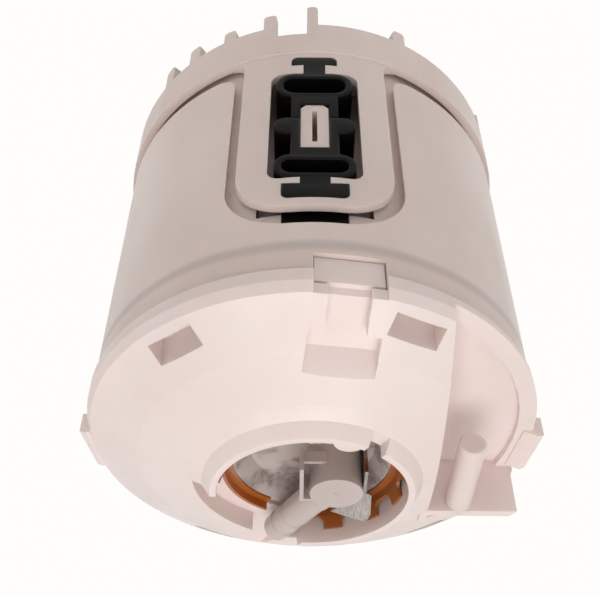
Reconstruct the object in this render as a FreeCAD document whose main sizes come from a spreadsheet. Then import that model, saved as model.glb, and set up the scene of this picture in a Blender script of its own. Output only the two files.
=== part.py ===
import FreeCAD, Part
import math
import os
import Sketcher

# Fuel pump module for standing inside a tank: a swirl pot that hangs in three rubber mounts on a castellated
# ring, with an electric pump standing in it and held at the collar of its domed cap.
# Millimetres. +Z runs up the pump to its outlet, the module stands on its ring's long tabs at Z = 0,
# and the side with the first rubber mount faces -Y.

document = FreeCAD.newDocument("fuel_pump_module")
sheet = document.addObject("Spreadsheet::Sheet", "sizes")
sheet_rows = []
parts = []


class Length:
    """A number together with the sheet formula that it comes from, so that a feature can be bound to it."""

    def __init__(self, number, formula=None):
        self.number = float(number)
        self.formula = formula or "%.6f" % self.number

    def __add__(self, other):
        other = as_length(other)
        return Length(self.number + other.number, "(%s + %s)" % (self.formula, other.formula))

    def __sub__(self, other):
        other = as_length(other)
        return Length(self.number - other.number, "(%s - %s)" % (self.formula, other.formula))

    def __mul__(self, other):
        other = as_length(other)
        return Length(self.number * other.number, "(%s * %s)" % (self.formula, other.formula))

    def __truediv__(self, other):
        other = as_length(other)
        return Length(self.number / other.number, "(%s / %s)" % (self.formula, other.formula))

    def __neg__(self):
        return Length(-self.number, "(0 - %s)" % self.formula)

    def __radd__(self, other):
        return as_length(other) + self

    def __rsub__(self, other):
        return as_length(other) - self

    def __rmul__(self, other):
        return as_length(other) * self


def as_length(item):
    """Plain numbers become lengths, and lengths stay as they are."""
    return item if isinstance(item, Length) else Length(item)


def sine(angle):
    """Sine of an angle in degrees."""
    angle = as_length(angle)
    return Length(math.sin(math.radians(angle.number)), "sin(%s * 1 deg)" % angle.formula)


def cosine(angle):
    """Cosine of an angle in degrees."""
    angle = as_length(angle)
    return Length(math.cos(math.radians(angle.number)), "cos(%s * 1 deg)" % angle.formula)


def size(alias, number):
    """Writes a driving dimension into the sheet under its own name."""
    sheet_rows.append(alias)
    cell = "B%d" % len(sheet_rows)
    sheet.set("A%d" % len(sheet_rows), alias)
    sheet.set(cell, str(number))
    sheet.setAlias(cell, alias)
    return Length(number, "sizes." + alias)


def bind(feature, name, length):
    """Binds one property of a feature to its formula."""
    feature.setExpression(name, as_length(length).formula)


# Sizes: fits and clearances
running_fit = size("running_fit", 0.05)
static_fit = size("static_fit", 0.05)
side_gap = size("side_gap", 0.3)

# Sizes: swirl pot
pot_radius = size("pot_radius", 57.0)
pot_wall = size("pot_wall", 2.5)
pot_low = size("pot_low", 13.0)
pot_floor = size("pot_floor", 2.2)
pot_step = size("pot_step", 29.7)
pot_high = size("pot_high", 110.0)
recess_depth = size("recess_depth", 2.6)
recess_radius = pot_radius - recess_depth
groove_half = size("groove_half", 22.0)
groove_high = size("groove_high", 94.5)
groove_corner = size("groove_corner", 15.5)
groove_flare = size("groove_flare", 4.0)
pocket_half = size("pocket_half", 14.0)
pocket_wall = size("pocket_wall", 1.8)
pocket_low = size("pocket_low", 24.2)
pocket_high = size("pocket_high", 88.6)
head_slot_half = size("head_slot_half", 8.0)
head_slot_high = size("head_slot_high", 93.2)
pocket_depth = size("pocket_depth", 14.0)
pocket_back = pot_radius - pocket_depth

# Sizes: mount ring and its three tongues
ring_proud = size("ring_proud", 1.0)
ring_radius = pot_radius + ring_proud
ring_wall = size("ring_wall", 2.2)
ring_low = size("ring_low", 10.0)
ring_high = size("ring_high", 24.5)
tongue_proud = size("tongue_proud", 0.6)
tongue_radius = pot_radius + tongue_proud
tongue_wall = size("tongue_wall", 2.2)
tongue_half = size("tongue_half", 19.5)
tongue_high = size("tongue_high", 89.0)
tongue_corner = size("tongue_corner", 13.0)
tongue_flare = size("tongue_flare", 3.5)
window_half = size("window_half", 11.7)
window_low = size("window_low", 34.6)
window_high = size("window_high", 79.0)
window_corner = size("window_corner", 3.0)
notch_angle = size("notch_angle", 6.5)
notch_width = size("notch_width", 9.0)
notch_high = size("notch_high", 15.0)
tooth_round = size("tooth_round", 1.2)
trim_margin = size("trim_margin", 2.0)
trim_reach = size("trim_reach", 12.0)

# Sizes: rubber mounts, as heights above the standing plane
mount_count = size("mount_count", 3)
mount_depth = size("mount_depth", 12.2)
mount_front = tongue_radius - 0.2
mount_back = mount_front - mount_depth
low_head_half = size("low_head_half", 6.3)
low_head_low = size("low_head_low", 26.5)
low_head_high = size("low_head_high", 30.7)
low_neck_half = size("low_neck_half", 3.0)
high_head_half = size("high_head_half", 8.2)
high_head_low = size("high_head_low", 81.0)
high_head_high = size("high_head_high", 86.5)
high_neck_half = size("high_neck_half", 3.7)
high_flange_half = size("high_flange_half", 7.7)
high_flange_high = size("high_flange_high", 93.0)
head_round = size("head_round", 1.9)
loop_half = size("loop_half", 10.3)
loop_wall = size("loop_wall", 2.0)
low_eye_round = size("low_eye_round", 3.2)
high_eye_round = size("high_eye_round", 2.4)
low_loop_high = size("low_loop_high", 45.6)
high_loop_low = size("high_loop_low", 69.8)
wing_low = size("wing_low", 54.8)
wing_high = size("wing_high", 61.4)
hub_half = size("hub_half", 6.2)

# Sizes: stud of the pot in the middle of each rubber mount
stud_half = size("stud_half", 3.6)
stud_low = size("stud_low", 49.0)
stud_high = size("stud_high", 67.0)
stud_point = size("stud_point", 1.4)
stud_slot_half = size("stud_slot_half", 0.65)
stud_slot_length = size("stud_slot_length", 13.0)
stud_slot_depth = size("stud_slot_depth", 8.0)

# Sizes: cap
rim_proud = size("rim_proud", 0.8)
cap_rim_radius = pot_radius + rim_proud
cap_wall = size("cap_wall", 2.0)
cap_rim_height = size("cap_rim_height", 3.4)
shoulder_inset = size("shoulder_inset", 0.4)
shoulder_radius = pot_radius - shoulder_inset
shoulder_height = size("shoulder_height", 116.0)
dome_radius = size("dome_radius", 31.0)
dome_height = size("dome_height", 127.0)
slope_radius = size("slope_radius", 44.0)
slope_height = size("slope_height", 122.6)
collar_bore = size("collar_bore", 23.7)
collar_lip = size("collar_lip", 1.6)
collar_high = size("collar_high", 132.0)
collar_seat = size("collar_seat", 119.0)
collar_seat_wall = size("collar_seat_wall", 2.0)
collar_gap_angle = size("collar_gap_angle", 81.0)
skirt_drop = size("skirt_drop", 5.0)

# Sizes: pump can and what turns inside it
can_radius = size("can_radius", 21.5)
can_wall = size("can_wall", 1.2)
can_low = size("can_low", 24.0)
can_high = size("can_high", 120.5)
shaft_radius = size("shaft_radius", 1.5)
outlet_offset = size("outlet_offset", 6.0)
outlet_radius = size("outlet_radius", 6.6)
outlet_high = size("outlet_high", 131.2)
nipple_root = size("nipple_root", 4.35)
nipple_root_length = size("nipple_root_length", 9.0)
rib_offset = size("rib_offset", 8.6)
rib_thick = size("rib_thick", 1.0)
rib_front = size("rib_front", 8.0)
rib_back = size("rib_back", 4.8)
barb_radius = size("barb_radius", 3.9)
nipple_radius = size("nipple_radius", 4.0)
nipple_height = size("nipple_height", 127.0)
nipple_reach = size("nipple_reach", 30.5)
nipple_angle = size("nipple_angle", 58.5)
nipple_bore = size("nipple_bore", 2.6)

# Sizes: panels of the pot behind the tongues
panel_angle = size("panel_angle", 61.0)
groove_rim = size("groove_rim", 2.5)

# Sizes: notches, hooks and windows where the cap locks on the pot
lock_angle = size("lock_angle", -7.7)
lock_half = size("lock_half", 8.2)
lock_low = size("lock_low", 105.0)
lock_depth = size("lock_depth", 3.6)
lock_inner = size("lock_inner", 37.5)
snap_half = size("snap_half", 6.3)
snap_hook_half = size("snap_hook_half", 4.8)
snap_inner = size("snap_inner", 48.8)
snap_low = size("snap_low", 112.0)
snap_angles = [size("snap_angle_a", 37.0), size("snap_angle_b", -25.5), size("snap_angle_c", 148.0),
               size("snap_angle_d", -140.0)]
ear_angle = size("ear_angle", 98.0)
ear_half = size("ear_half", 8.0)
ear_proud = size("ear_proud", 3.0)
ledge_width = size("ledge_width", 3.4)
lobe_turn = size("lobe_turn", -19.0)
lobe_radius = size("lobe_radius", 3.8)
lobe_height = size("lobe_height", 2.6)
lip_notch_turn = size("lip_notch_turn", -35.5)
lip_notch_width = size("lip_notch_width", 5.0)
hose_bed_half = size("hose_bed_half", 7.0)
hose_room = size("hose_room", 1.2)

# Sizes: inlet in the pot's floor, with its rubber flap
inlet_x = size("inlet_x", 30.0)
inlet_y = size("inlet_y", 18.0)
inlet_stem = size("inlet_stem", 1.6)
inlet_port = size("inlet_port", 2.0)
inlet_port_circle = size("inlet_port_circle", 5.0)
flap_radius = size("flap_radius", 8.5)
flap_travel = size("flap_travel", 1.5)

# Sizes: lowered side of the cap, its housing and the return stub
step_x = size("step_x", 31.0)
bulkhead_y = size("bulkhead_y", 17.0)
low_deck = size("low_deck", 112.0)
deck_drop = size("deck_drop", 1.8)
housing_back_high = size("housing_back_high", 122.2)
stub_end = size("stub_end", 1.5)
stub_chamfer = size("stub_chamfer", 0.6)
gallery_y = size("gallery_y", 19.6)
duct_drop = size("duct_drop", 0.5)
housing_ridge = size("housing_ridge", 2.5)
gap_turn = size("gap_turn", 131.5)
housing_width = size("housing_width", 23.6)
housing_taper = size("housing_taper", 4.5)
housing_length = size("housing_length", 6.5)
housing_high = size("housing_high", 126.0)
stub_x = size("stub_x", -39.4)
stub_high = size("stub_high", 122.7)
stub_radius = size("stub_radius", 3.5)
stub_bore = size("stub_bore", 1.5)
stub_spigot = size("stub_spigot", 2.9)
stub_root = size("stub_root", 2.0)
stub_reach = size("stub_reach", 27.0)

# Sizes: return pipe and jet nozzle
pipe_x = size("pipe_x", -28.5)
pipe_y = size("pipe_y", 20.6)
pipe_low = size("pipe_low", 24.0)
pipe_high = size("pipe_high", 118.0)
pipe_clear = size("pipe_clear", 6.0)
jet_length = size("jet_length", 26.0)
jet_radius = size("jet_radius", 4.0)
jet_bore = size("jet_bore", 2.2)
jet_clear = size("jet_clear", 0.4)

# Sizes: pump chamber and impeller
chamber_low = size("chamber_low", 31.0)
impeller_thick = size("impeller_thick", 3.8)
impeller_radius = size("impeller_radius", 17.0)
impeller_gap = size("impeller_gap", 0.2)
chamber_side = size("chamber_side", 0.06)
spigot_radius = size("spigot_radius", 5.5)
spigot_low = size("spigot_low", 18.5)
port_x = size("port_x", 11.0)
bearing_radius = size("bearing_radius", 3.0)
vane_count = size("vane_count", 30)
vane_depth = size("vane_depth", 3.2)
vane_slot = size("vane_slot", 2.0)
plate_high = size("plate_high", 42.0)

# Sizes: magnets, armature, commutator and shaft
magnet_low = size("magnet_low", 48.0)
magnet_high = size("magnet_high", 84.0)
magnet_radius = size("magnet_radius", 16.0)
magnet_angle = size("magnet_angle", 132.0)
core_radius = size("core_radius", 15.5)
core_low = size("core_low", 50.0)
core_high = size("core_high", 82.0)
core_slots = size("core_slots", 8)
commutator_low = size("commutator_low", 89.5)
commutator_high = size("commutator_high", 93.5)
commutator_radius = size("commutator_radius", 11.0)
shaft_low = size("shaft_low", 28.5)
shaft_high = size("shaft_high", 103.0)

# Sizes: end cover, bearing, brushes and valves
cover_low = size("cover_low", 95.5)
cover_high = size("cover_high", 122.3)
dish_high = size("dish_high", 118.0)
dish_radius = size("dish_radius", 16.0)
dish_rim = size("dish_rim", 19.6)
bearing_low = size("bearing_low", 97.0)
bearing_high = size("bearing_high", 102.0)
upper_bearing_radius = size("upper_bearing_radius", 2.8)
brush_offset = size("brush_offset", 8.0)
brush_radius = size("brush_radius", 2.3)
brush_high = size("brush_high", 103.5)
brush_hole_high = size("brush_hole_high", 113.5)
valve_bore = size("valve_bore", 2.6)
valve_seat_high = size("valve_seat_high", 112.0)
outlet_spigot = size("outlet_spigot", 4.4)
outlet_spigot_high = size("outlet_spigot_high", 126.0)
relief_x = size("relief_x", 9.0)
relief_y = size("relief_y", -8.0)
relief_bore = size("relief_bore", 2.8)
relief_seat = size("relief_seat", 104.0)
terminal_high = size("terminal_high", 125.0)
spring_wire = size("spring_wire", 0.7)
poppet_high = size("poppet_high", 116.5)
relief_ball_radius = size("relief_ball_radius", 2.5)
plug_low = size("plug_low", 115.5)

# Sizes: retaining ring
finger_count = size("finger_count", 13)
finger_gap = size("finger_gap", 6.2)
retainer_wall = size("retainer_wall", 0.6)
retainer_inner = size("retainer_inner", 20.0)
retainer_radius = size("retainer_radius", 22.6)
finger_high = size("finger_high", 128.3)
finger_round = size("finger_round", 2.0)
finger_turn = size("finger_turn", -68.2)
finger_root = size("finger_root", 125.0)
retainer_gap_turn = size("retainer_gap_turn", 161.6)
retainer_gap_angle = size("retainer_gap_angle", 28.0)
retainer_open_angle = size("retainer_open_angle", 74.0)

# Sizes: steel clip
clip_thick = size("clip_thick", 0.8)
clip_high = size("clip_high", 130.2)

# Sizes: strainer
strainer_radius = size("strainer_radius", 24.0)
strainer_high = size("strainer_high", 20.5)

# Sizes: feet under the ring, each with its angle from a mount, its width and the height of its tip
feet = []
for foot_name, foot_place, foot_wide, foot_low in (
        ("tab", 0.4, 3.2, 0.0), ("lug", 12.9, 3.8, 3.0), ("tooth_a", -26.1, 3.8, 4.0), ("tooth_b", 25.5, 3.8, 5.0),
        ("tooth_c", 38.4, 4.0, 3.0), ("tooth_d", 50.1, 4.0, 2.0)):
    feet.append((foot_name, size(foot_name + "_angle", foot_place), size(foot_name + "_width", foot_wide),
                 size(foot_name + "_tip", foot_low)))
document.recompute()


def origin_feature(body, role):
    """One of a body's own base planes or axes."""
    for feature in body.Origin.OriginFeatures:
        if feature.Role == role:
            return feature
    raise RuntimeError("no " + role)


def new_body(label):
    """Starts the body of one piece, and lists it among the parts."""
    body = document.addObject("PartDesign::Body", label)
    body.Label = label
    parts.append(body)
    return body


def new_sketch(body, name, plane, offset=0, turn=0):
    """A sketch on a base plane, moved out along its normal and turned about the module's axis."""
    sketch = body.newObject("Sketcher::SketchObject", body.Label + "_" + name)
    sketch.AttachmentSupport = [(origin_feature(body, plane), "")]
    sketch.MapMode = "FlatFace"
    offset = as_length(offset)
    turn = as_length(turn)
    if turn.number:
        sketch.AttachmentOffset = FreeCAD.Placement(
            FreeCAD.Vector(0, 0, offset.number),
            FreeCAD.Rotation(FreeCAD.Vector(0, 1, 0), turn.number))
        bind(sketch, "AttachmentOffset.Rotation.Angle", turn)
        bind(sketch, "AttachmentOffset.Base.x", offset * sine(turn))
        bind(sketch, "AttachmentOffset.Base.z", offset * cosine(turn))
    else:
        bind(sketch, "AttachmentOffset.Base.z", offset)
    return sketch


def fix_point(sketch, edge, end, spot):
    """Binds one end of an edge to its two distances from the sketch's origin."""
    for kind, length in (("DistanceX", spot[0]), ("DistanceY", spot[1])):
        index = sketch.addConstraint(Sketcher.Constraint(kind, -1, 1, edge, end, length.number))
        sketch.setExpression("Constraints[%d]" % index, length.formula)


def outline(sketch, corners):
    """A closed outline of straight runs. A corner given with a radius, between two runs along the sketch's own
    axes, is rounded by an arc."""
    spots = []
    for number, corner in enumerate(corners):
        here = (as_length(corner[0]), as_length(corner[1]))
        if len(corner) < 3:
            spots.append((here, None, None))
            continue
        radius = as_length(corner[2])
        touches = []
        for other in (corners[number - 1], corners[(number + 1) % len(corners)]):
            step_x = as_length(other[0]).number - here[0].number
            step_y = as_length(other[1]).number - here[1].number
            if abs(step_x) > abs(step_y):
                touches.append((here[0] + radius * math.copysign(1, step_x), here[1]))
            else:
                touches.append((here[0], here[1] + radius * math.copysign(1, step_y)))
        spots.append((touches[0], radius, here))
        spots.append((touches[1], None, None))
    for number, (start, radius, corner) in enumerate(spots):
        begin = FreeCAD.Vector(start[0].number, start[1].number, 0)
        finish = spots[(number + 1) % len(spots)][0]
        end = FreeCAD.Vector(finish[0].number, finish[1].number, 0)
        if radius is None:
            edge = sketch.addGeometry(Part.LineSegment(begin, end), False)
            fix_point(sketch, edge, 1, start)
        else:
            tip = FreeCAD.Vector(corner[0].number, corner[1].number, 0)
            centre = begin + end - tip
            top = centre + (tip - centre).normalize() * radius.number
            turns_left = (top - begin).cross(end - top).z > 0
            arc = Part.Arc(begin, top, end) if turns_left else Part.Arc(end, top, begin)
            edge = sketch.addGeometry(arc, False)
            fix_point(sketch, edge, 1 if turns_left else 2, start)
            lock = sketch.addConstraint(Sketcher.Constraint("Radius", edge, radius.number))
            sketch.setExpression("Constraints[%d]" % lock, radius.formula)
    join_ends(sketch)


def join_ends(sketch):
    """Joins each edge's end to the start of the next one."""
    geometry = sketch.Geometry
    ends = []
    for number, edge in enumerate(geometry):
        ends.append((number, 1, edge.StartPoint))
        ends.append((number, 2, edge.EndPoint))
    for place, (number, end, spot) in enumerate(ends):
        for other, other_end, other_spot in ends[place + 1:]:
            if other != number and (spot - other_spot).Length < 1e-6:
                sketch.addConstraint(Sketcher.Constraint("Coincident", number, end, other, other_end))


def finish_feature(body, feature, adds):
    """Recomputes, and checks that a feature really added or removed material."""
    before = feature.BaseFeature.Shape.Volume if feature.BaseFeature else 0.0
    feature.Refine = False
    document.recompute()
    change = feature.Shape.Volume - before
    if (adds and change <= 0) or (not adds and change >= 0):
        raise RuntimeError("%s changes the volume by %.4f" % (feature.Name, change))
    body.Tip = feature
    return feature


def pad(body, sketch, length, both_ways=False, backwards=False):
    feature = body.newObject("PartDesign::Pad", sketch.Label + "_pad")
    feature.Profile = sketch
    bind(feature, "Length", length)
    feature.SideType = "Symmetric" if both_ways else "One side"
    feature.Reversed = backwards
    return finish_feature(body, feature, True)


def pocket(body, sketch, length, both_ways=False, backwards=False):
    feature = body.newObject("PartDesign::Pocket", sketch.Label + "_cut")
    feature.Profile = sketch
    bind(feature, "Length", length)
    feature.SideType = "Symmetric" if both_ways else "One side"
    feature.Reversed = backwards
    return finish_feature(body, feature, False)


def revolve(body, sketch, angle=360, axis="V_Axis"):
    feature = body.newObject("PartDesign::Revolution", sketch.Label + "_turn")
    feature.Profile = sketch
    feature.ReferenceAxis = (sketch, [axis])
    bind(feature, "Angle", angle)
    feature.Midplane = as_length(angle).number < 360
    return finish_feature(body, feature, True)


def groove(body, sketch, angle=360, axis="V_Axis"):
    feature = body.newObject("PartDesign::Groove", sketch.Label + "_groove")
    feature.Profile = sketch
    feature.ReferenceAxis = (sketch, [axis])
    bind(feature, "Angle", angle)
    feature.Midplane = as_length(angle).number < 360
    return finish_feature(body, feature, False)


def around(body, name, features, count):
    """Repeats features about the body's own Z axis."""
    pattern = body.newObject("PartDesign::PolarPattern", body.Label + "_" + name)
    pattern.Originals = features
    pattern.Axis = (origin_feature(body, "Z_Axis"), [""])
    pattern.Angle = 360
    bind(pattern, "Occurrences", count)
    pattern.Refine = False
    document.recompute()
    body.Tip = pattern
    return pattern


def place(body, x=0, y=0, z=0, turn=0):
    """Puts a finished piece in its place."""
    bind(body, "Placement.Base.x", x)
    bind(body, "Placement.Base.y", y)
    bind(body, "Placement.Base.z", z)
    if as_length(turn).number:
        body.Placement = FreeCAD.Placement(
            FreeCAD.Vector(), FreeCAD.Rotation(FreeCAD.Vector(0, 0, 1), as_length(turn).number))
        bind(body, "Placement.Rotation.Angle", turn)
    return body


def turned(label, corners):
    """A piece turned about Z from one outline of radius and height."""
    body = new_body(label)
    profile = new_sketch(body, "profile", "XZ_Plane")
    outline(profile, corners)
    revolve(body, profile)
    return body


def disc(body, name, radius, low, high, x=0, y=0):
    """A round boss at a spot of its own."""
    sketch = new_sketch(body, name, "XY_Plane", low)
    circle(sketch, radius, x, y)
    return pad(body, sketch, as_length(high) - low)


def hole(body, name, radius, low, high, x=0, y=0):
    """A round hole between two heights, cut downwards from its upper one."""
    sketch = new_sketch(body, name, "XY_Plane", high)
    circle(sketch, radius, x, y)
    return pocket(body, sketch, as_length(high) - low)


def circle(sketch, radius, x=0, y=0):
    radius = as_length(radius)
    x = as_length(x)
    y = as_length(y)
    centre = FreeCAD.Vector(x.number, y.number, 0)
    edge = sketch.addGeometry(Part.Circle(centre, FreeCAD.Vector(0, 0, 1), radius.number), False)
    fix_point(sketch, edge, 3, (x, y))
    lock = sketch.addConstraint(Sketcher.Constraint("Radius", edge, radius.number))
    sketch.setExpression("Constraints[%d]" % lock, radius.formula)


def rounded(half, low, high, radius):
    """Corners of an upright rounded rectangle about the sketch's middle line."""
    return [(-as_length(half), low, radius), (half, low, radius), (half, high, radius), (-as_length(half), high, radius)]


def square(half, low, high):
    """Corners of an upright rectangle about the sketch's middle line."""
    return [(-as_length(half), low), (half, low), (half, high), (-as_length(half), high)]


def front(corners):
    """Turns outline corners of radius and height round to the module's front, where Y is negative."""
    return [(-as_length(corner[0]), corner[1]) for corner in corners]


def plate(x_low, x_high, y_low, y_high):
    """Corners of a rectangle between two pairs of limits."""
    return [(x_low, y_low), (x_high, y_low), (x_high, y_high), (x_low, y_high)]


# Mount ring: a low ring with a castellated foot and three windowed tongues, each of which carries a rubber mount
mount_ring = new_body("mount_ring")
ring_inner = ring_radius - ring_wall
tongue_inner = tongue_radius - tongue_wall
band = new_sketch(mount_ring, "band", "XZ_Plane")
outline(band, plate(ring_inner, ring_radius, ring_low, ring_high))
revolve(mount_ring, band)
blank = new_sketch(mount_ring, "tongue", "XZ_Plane", tongue_inner - 10)
flare_half = tongue_half + tongue_flare + 1
outline(blank, [(-flare_half, ring_high - 1), (flare_half, ring_high - 1), (flare_half, ring_high),
                (tongue_half, ring_high, tongue_flare), (tongue_half, tongue_high, tongue_corner),
                (-tongue_half, tongue_high, tongue_corner), (-tongue_half, ring_high, tongue_flare),
                (-flare_half, ring_high)])
tongue_pad = pad(mount_ring, blank, tongue_wall + 10.5)
window = new_sketch(mount_ring, "window", "XZ_Plane", tongue_inner - 12)
outline(window, rounded(window_half, window_low, window_high, window_corner))
window_cut = pocket(mount_ring, window, tongue_wall + 15, backwards=True)
low_slot = new_sketch(mount_ring, "low_slot", "XZ_Plane", tongue_inner - 12)
outline(low_slot, [(-low_head_half, low_head_low, head_round), (low_head_half, low_head_low, head_round),
                   (low_head_half, low_head_high), (low_neck_half, low_head_high), (low_neck_half, window_low + 1),
                   (-low_neck_half, window_low + 1), (-low_neck_half, low_head_high), (-low_head_half, low_head_high)])
low_slot_cut = pocket(mount_ring, low_slot, tongue_wall + 15, backwards=True)
high_slot = new_sketch(mount_ring, "high_slot", "XZ_Plane", tongue_inner - 12)
outline(high_slot, [(-high_head_half, high_head_high, head_round), (high_head_half, high_head_high, head_round),
                    (high_head_half, high_head_low), (high_neck_half, high_head_low),
                    (high_neck_half, window_high - 1), (-high_neck_half, window_high - 1),
                    (-high_neck_half, high_head_low), (-high_head_half, high_head_low)])
high_slot_cut = pocket(mount_ring, high_slot, tongue_wall + 15, backwards=True)
notch = new_sketch(mount_ring, "notch", "XZ_Plane", ring_inner - 2, notch_angle)
outline(notch, square(notch_width / 2, ring_low - 1, notch_high))
notch_cut = pocket(mount_ring, notch, ring_wall + 4, backwards=True)

foot_pads = []
for foot_name, foot_angle, foot_width, foot_tip in feet:
    foot_half = foot_width / 2
    foot = new_sketch(mount_ring, foot_name, "XZ_Plane", ring_inner - trim_margin, foot_angle)
    outline(foot, [(-foot_half, foot_tip, tooth_round), (foot_half, foot_tip, tooth_round),
                   (foot_half, notch_high + 1), (-foot_half, notch_high + 1)])
    foot_pads.append(pad(mount_ring, foot, ring_wall + trim_margin * 2))
around(mount_ring, "thirds", [tongue_pad, window_cut, low_slot_cut, high_slot_cut, notch_cut] + foot_pads, mount_count)
trim_radius = tongue_radius + trim_reach
outer_trim = new_sketch(mount_ring, "outer_trim", "XZ_Plane")
outline(outer_trim, [(ring_radius, -1.0), (ring_radius, ring_high), (tongue_radius, ring_high),
                     (tongue_radius, tongue_high + 4), (trim_radius, tongue_high + 4), (trim_radius, -1.0)])
groove(mount_ring, outer_trim)
inner_trim = new_sketch(mount_ring, "inner_trim", "XZ_Plane")
outline(inner_trim, [(0, -1.0), (ring_inner, -1.0), (ring_inner, ring_high), (tongue_inner, ring_high),
                     (tongue_inner, tongue_high + 4), (0, tongue_high + 4)])
groove(mount_ring, inner_trim)


def rubber_mount(label, turn):
    """A rubber mount: two hollow loops, a hub that takes the pot's stud, and a headed key at either end."""
    body = new_body(label)
    depth = mount_front - mount_back
    fit = static_fit
    shapes = (
        ("low_key", [(-(low_head_half - fit), low_head_low + fit, head_round),
                     (low_head_half - fit, low_head_low + fit, head_round),
                     (low_head_half - fit, low_head_high - fit), (-(low_head_half - fit), low_head_high - fit)]),
        ("low_neck", square(low_neck_half - fit, low_head_low + 1, window_low + 2)),
        ("low_loop", rounded(loop_half, window_low, low_loop_high, (low_loop_high - window_low) / 2 - 0.1)),
        ("spine", rounded(hub_half, low_loop_high - 2, high_loop_low + 2, 1)),
        ("wings", rounded(loop_half + 0.2, wing_low, wing_high, (wing_high - wing_low) / 2 - 0.1)),
        ("high_loop", rounded(loop_half - 0.1, high_loop_low, window_high, (window_high - high_loop_low) / 2 - 0.1)),
        ("high_neck", square(high_neck_half - fit, window_high - 2, high_head_low + 1)),
        ("high_key", [(-(high_head_half - fit), high_head_low + fit), (high_head_half - fit, high_head_low + fit),
                      (high_head_half - fit, high_head_high - fit, head_round),
                      (-(high_head_half - fit), high_head_high - fit, head_round)]),
    )
    for name, corners in shapes:
        sketch = new_sketch(body, name, "XZ_Plane", mount_back)
        outline(sketch, corners)
        pad(body, sketch, depth)
    flange = new_sketch(body, "flange", "XZ_Plane", mount_back)
    outline(flange, square(high_flange_half, high_head_low, high_flange_high))
    pad(body, flange, tongue_radius - tongue_wall - 1.6 - mount_back)
    openings = (
        ("low_eye", rounded(loop_half - loop_wall, window_low + loop_wall, low_loop_high - loop_wall, low_eye_round)),
        ("high_eye", rounded(loop_half - loop_wall, high_loop_low + loop_wall, window_high - loop_wall, high_eye_round)),
        ("hub", [(-(stud_half + fit), stud_low - fit), (stud_half + fit, stud_low - fit),
                 (stud_half + fit, stud_high + fit), (-(stud_half + fit), stud_high + fit)]),
    )
    for name, corners in openings:
        sketch = new_sketch(body, name, "XZ_Plane", mount_back - 1)
        outline(sketch, corners)
        pocket(body, sketch, depth + 3, backwards=True)
    return place(body, turn=turn)


rubber_mount("isolator_front", 0)
rubber_mount("isolator_right", 120)
rubber_mount("isolator_left", 240)

# Swirl pot: a thin moulded tub with a smaller foot inside the ring, and a panel with a pocket behind each tongue
pot = new_body("reservoir_pot")
shell = new_sketch(pot, "shell", "XZ_Plane")
floor_high = pot_low + pot_floor
outline(shell, [(0, pot_low), (recess_radius, pot_low), (recess_radius, pot_step), (pot_radius, pot_step),
                (pot_radius, pot_high), (pot_radius - pot_wall, pot_high), (pot_radius - pot_wall, pot_step + pot_wall),
                (recess_radius - pot_wall, pot_step + pot_wall), (recess_radius - pot_wall, floor_high),
                (0, floor_high)])
revolve(pot, shell)
pot_inner = pot_radius - pot_wall
recess_inner = recess_radius - pot_wall
panel = new_sketch(pot, "panel", "YZ_Plane")
outline(panel, front(plate(recess_inner, pot_radius, pot_step, groove_high + groove_rim)))
panel_turn = revolve(pot, panel, panel_angle)
channel = new_sketch(pot, "groove", "XZ_Plane", pocket_back)
flare_out = groove_half + groove_flare
flare_bend = groove_flare * (1 - cosine(45))
outline(channel, [(-flare_out, pot_step), (flare_out, pot_step), (groove_half + flare_bend, pot_step + flare_bend),
                  (groove_half, pot_step + groove_flare), (groove_half, groove_high, groove_corner),
                  (-groove_half, groove_high, groove_corner), (-groove_half, pot_step + groove_flare),
                  (-(groove_half + flare_bend), pot_step + flare_bend)])
channel_cut = pocket(pot, channel, pot_radius, backwards=True)
backing = new_sketch(pot, "backing", "YZ_Plane")
outline(backing, front(plate(recess_inner, recess_radius, pot_step - 1, groove_high + groove_rim / 2)))
backing_turn = revolve(pot, backing, panel_angle - 2)
block = new_sketch(pot, "pocket_block", "XZ_Plane", pocket_back - pocket_wall)
outline(block, square(pocket_half + pocket_wall, pocket_low - pocket_wall, pocket_high + pocket_wall))
block_pad = pad(pot, block, recess_inner - 0.4 - pocket_back + pocket_wall)
slot_block = new_sketch(pot, "slot_block", "XZ_Plane", pocket_back - pocket_wall)
outline(slot_block, square(head_slot_half + pocket_wall, pocket_high, head_slot_high + pocket_wall))
slot_block_pad = pad(pot, slot_block, recess_inner + 1 - pocket_back + pocket_wall)
head_slot = new_sketch(pot, "head_slot", "XZ_Plane", pocket_back)
outline(head_slot, square(head_slot_half, pocket_high - 2, head_slot_high))
hollow = new_sketch(pot, "pocket_hollow", "XZ_Plane", pocket_back)
outline(hollow, square(pocket_half, pocket_low, pocket_high))
hollow_cut = pocket(pot, hollow, pot_radius, backwards=True)
head_slot_cut = pocket(pot, head_slot, pot_radius, backwards=True)
stud = new_sketch(pot, "stud", "XZ_Plane", pocket_back - 0.5)
outline(stud, [(-stud_half, stud_low + stud_point), (-(stud_half - stud_point), stud_low),
               (stud_half - stud_point, stud_low), (stud_half, stud_low + stud_point), (stud_half, stud_high),
               (-stud_half, stud_high)])
stud_pad = pad(pot, stud, mount_front - 0.4 - pocket_back + 0.5)
stud_slot = new_sketch(pot, "stud_slot", "XZ_Plane", mount_front)
stud_middle = (stud_low + stud_high) / 2
outline(stud_slot, square(stud_slot_half, stud_middle - stud_slot_length / 2, stud_middle + stud_slot_length / 2))
stud_slot_cut = pocket(pot, stud_slot, stud_slot_depth)
around(pot, "thirds", [panel_turn, channel_cut, backing_turn, block_pad, slot_block_pad, hollow_cut, head_slot_cut,
                       stud_pad, stud_slot_cut], mount_count)


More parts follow.
